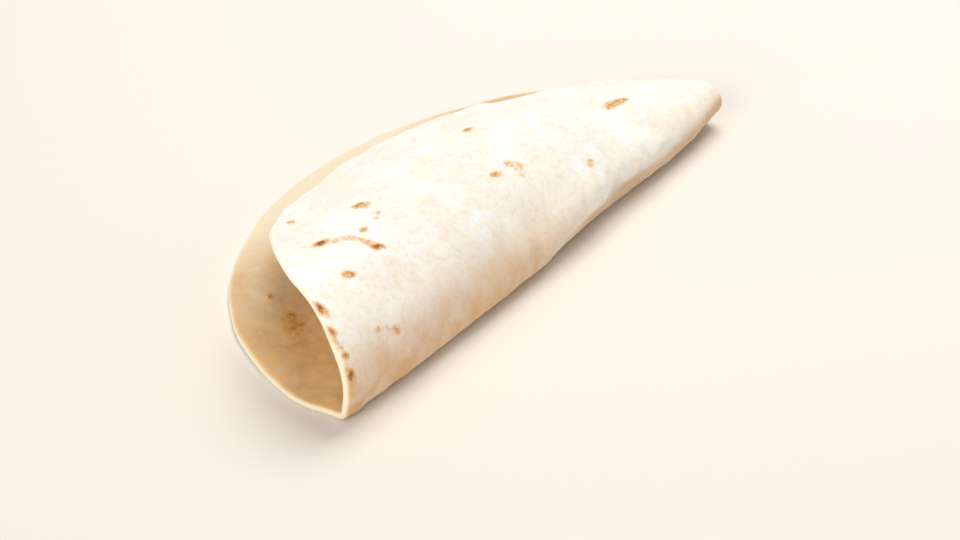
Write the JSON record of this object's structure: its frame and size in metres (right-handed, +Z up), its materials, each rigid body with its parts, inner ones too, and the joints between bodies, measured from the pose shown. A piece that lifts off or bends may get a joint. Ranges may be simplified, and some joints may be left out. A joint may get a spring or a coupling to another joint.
{
  "type": "folded piadina flatbread",
  "caption": "Thin round flatbread folded over into a half moon, with an open pocket for a filling along its curved side and one end.",
  "frame": {"origin": "centre of the folded bread's outline, on the surface it rests on", "axes": "+X along the fold, towards its tightly rolled end; +Y from the fold to the open side; +Z up"},
  "size_m": [0.2502, 0.1258, 0.0451],
  "materials": {
    "baked_dough": "matte"
  },
  "bodies": {
    "root": {"piadina": "baked_dough"}
  },
  "joints": []
}
